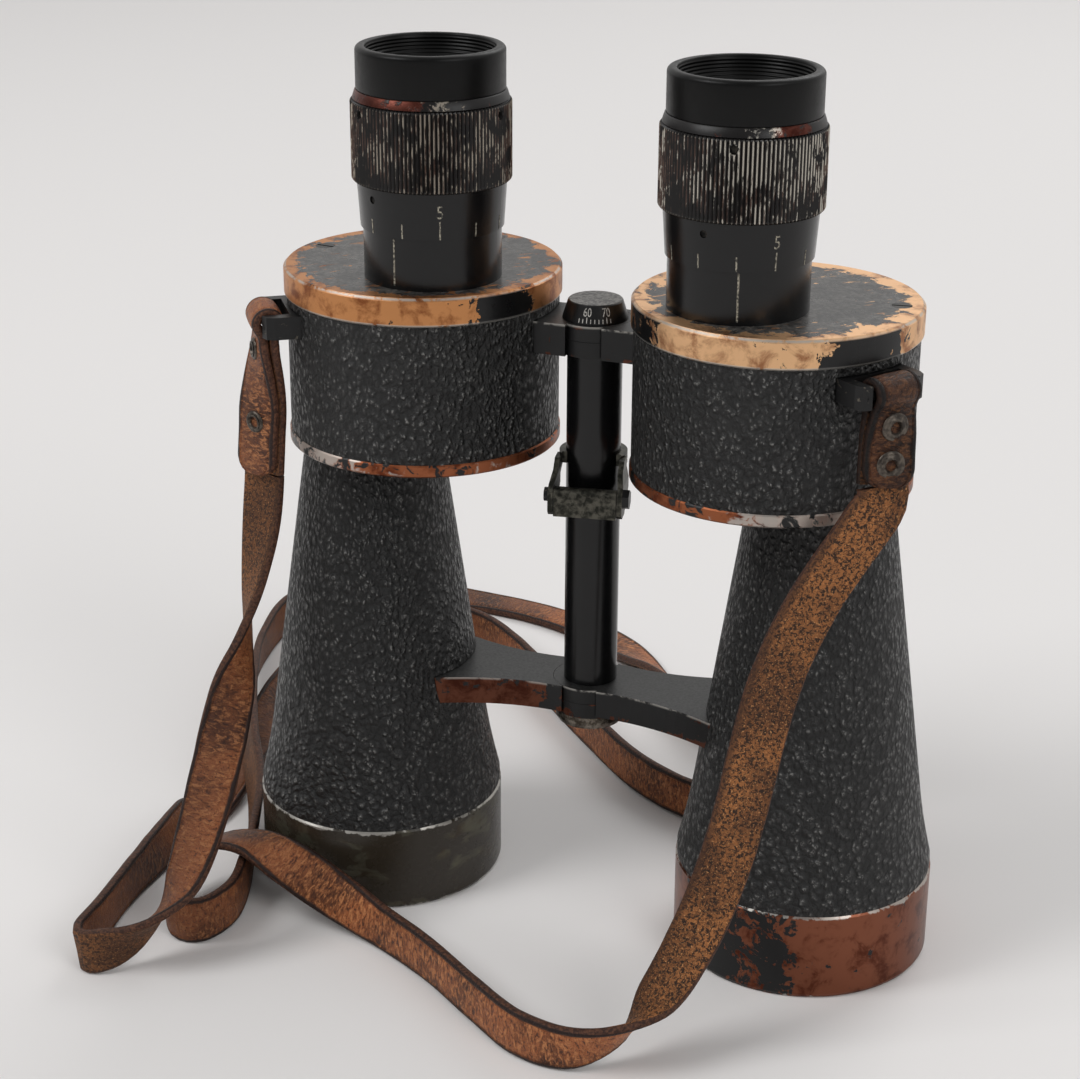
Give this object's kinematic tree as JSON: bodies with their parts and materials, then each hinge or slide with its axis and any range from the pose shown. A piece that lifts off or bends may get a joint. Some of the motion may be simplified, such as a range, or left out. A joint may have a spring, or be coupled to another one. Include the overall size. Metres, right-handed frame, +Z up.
{
  "type": "prism binoculars",
  "caption": "Marine prism binoculars: two leather covered barrels on a centre hinge, separate focusing eyepieces, prisms and lenses inside, and a riveted leather neck strap.",
  "frame": {"origin": "point on the hinge axis at the level of the objective rings' feet, at the middle of the rigid parts' bounding box", "axes": "+Z up along the hinge axis towards the eyepieces, -Y towards the eyepieces' side, +X towards the right barrel"},
  "size_m": [0.2221, 0.2363, 0.2066],
  "materials": {
    "barrel_tube": "satin black paint on brass",
    "tube_covering": "pebbled black leather",
    "objective_ring": "worn black paint over brass",
    "objective_cell": "matt black paint",
    "objective_crown": "polished",
    "objective_flint": "polished",
    "prism_housing": "black paint worn to brass at the foot ring",
    "housing_covering": "pebbled black leather",
    "top_plate": "worn black paint over brass",
    "plate_screws": "worn steel",
    "prism_shelf": "machined",
    "prisms": "polished",
    "prism_clips": "spring steel",
    "eyepiece_socket": "gloss black paint",
    "upper_arm": "worn black paint",
    "lower_arm": "worn black paint over brass",
    "strap_lug": "worn black paint",
    "lens_tube": "turned brass",
    "eyepiece_lenses": "polished",
    "tube_retainer": "black paint",
    "focus_ring": "knurled, black paint worn to metal",
    "scale_sleeve": "gloss black paint",
    "ring_screws": "dark steel",
    "eyecup": "satin black moulded plastic",
    "strap_end": "worn brown leather",
    "strap_rivets": "dull tubular rivets",
    "hinge_tube": "gloss black paint",
    "hinge_axle": "ground steel",
    "scale_cap": "black paint, grey worn top",
    "hinge_nut": "worn steel",
    "tube_bracket": "gunmetal",
    "bracket_pin": "black",
    "bracket_flap": "gunmetal",
    "neck_strap": "worn brown leather"
  },
  "bodies": {
    "left_barrel": {"left_barrel_tube": "barrel_tube", "left_tube_covering": "tube_covering", "left_objective_ring": "objective_ring", "left_objective_cell": "objective_cell", "left_objective_crown": "objective_crown", "left_objective_flint": "objective_flint", "left_prism_housing": "prism_housing", "left_housing_covering": "housing_covering", "left_top_plate": "top_plate", "left_plate_screws": "plate_screws", "left_prism_shelf": "prism_shelf", "left_prisms": "prisms", "left_prism_clips": "prism_clips", "left_eyepiece_socket": "eyepiece_socket", "left_upper_arm": "upper_arm", "left_lower_arm": "lower_arm", "left_strap_lug": "strap_lug", "left_strap_end": "strap_end", "left_strap_rivets": "strap_rivets", "hinge_tube": "hinge_tube", "hinge_axle": "hinge_axle", "scale_cap": "scale_cap", "hinge_nut": "hinge_nut", "tube_bracket": "tube_bracket", "bracket_pin": "bracket_pin", "neck_strap": "neck_strap"},
    "right_barrel": {"right_barrel_tube": "barrel_tube", "right_tube_covering": "tube_covering", "right_objective_ring": "objective_ring", "right_objective_cell": "objective_cell", "right_objective_crown": "objective_crown", "right_objective_flint": "objective_flint", "right_prism_housing": "prism_housing", "right_housing_covering": "housing_covering", "right_top_plate": "top_plate", "right_plate_screws": "plate_screws", "right_prism_shelf": "prism_shelf", "right_prisms": "prisms", "right_prism_clips": "prism_clips", "right_eyepiece_socket": "eyepiece_socket", "right_upper_arm": "upper_arm", "right_lower_arm": "lower_arm", "right_strap_lug": "strap_lug", "right_strap_end": "strap_end", "right_strap_rivets": "strap_rivets"},
    "left_eyepiece": {"left_lens_tube": "lens_tube", "left_eyepiece_lenses": "eyepiece_lenses", "left_tube_retainer": "tube_retainer"},
    "left_focus_ring": {"left_focus_ring": "focus_ring", "left_scale_sleeve": "scale_sleeve", "left_ring_screws": "ring_screws", "left_eyecup": "eyecup"},
    "right_eyepiece": {"right_lens_tube": "lens_tube", "right_eyepiece_lenses": "eyepiece_lenses", "right_tube_retainer": "tube_retainer"},
    "right_focus_ring": {"right_focus_ring": "focus_ring", "right_scale_sleeve": "scale_sleeve", "right_ring_screws": "ring_screws", "right_eyecup": "eyecup"},
    "bracket_flap": {"bracket_flap": "bracket_flap"}
  },
  "joints": [
    {"name": "eye_distance_hinge", "type": "hinge", "parent": "left_barrel", "child": "right_barrel", "pos_m": [0, 0, 0], "axis": [0, 0, 1], "range_deg": [-50, 7], "deforming": ["neck_strap"]},
    {"name": "left_focus_slide", "type": "slide", "parent": "left_barrel", "child": "left_eyepiece", "axis": [0, 0, 1], "range_m": [-0.0011, 0.0062]},
    {"name": "left_focus_turn", "type": "hinge", "parent": "left_eyepiece", "child": "left_focus_ring", "pos_m": [-0.0355, -0.0094, 0], "axis": [0, 0, 1], "range_deg": [-45, 265]},
    {"name": "right_focus_slide", "type": "slide", "parent": "right_barrel", "child": "right_eyepiece", "axis": [0, 0, 1], "range_m": [-0.0011, 0.0062]},
    {"name": "right_focus_turn", "type": "hinge", "parent": "right_eyepiece", "child": "right_focus_ring", "pos_m": [0.0355, -0.0094, 0], "axis": [0, 0, 1], "range_deg": [-35, 275]},
    {"name": "bracket_flap_pivot", "type": "hinge", "parent": "left_barrel", "child": "bracket_flap", "pos_m": [0.00182, -0.01034, 0.107], "axis": [0.9848, 0.1736, 0], "range_deg": [-70, 0]}
  ],
  "couplings": [
    {"joint": "left_focus_slide", "follows": "left_focus_turn", "m_per_rad": 0.0012732},
    {"joint": "right_focus_slide", "follows": "right_focus_turn", "m_per_rad": 0.0012732}
  ]
}
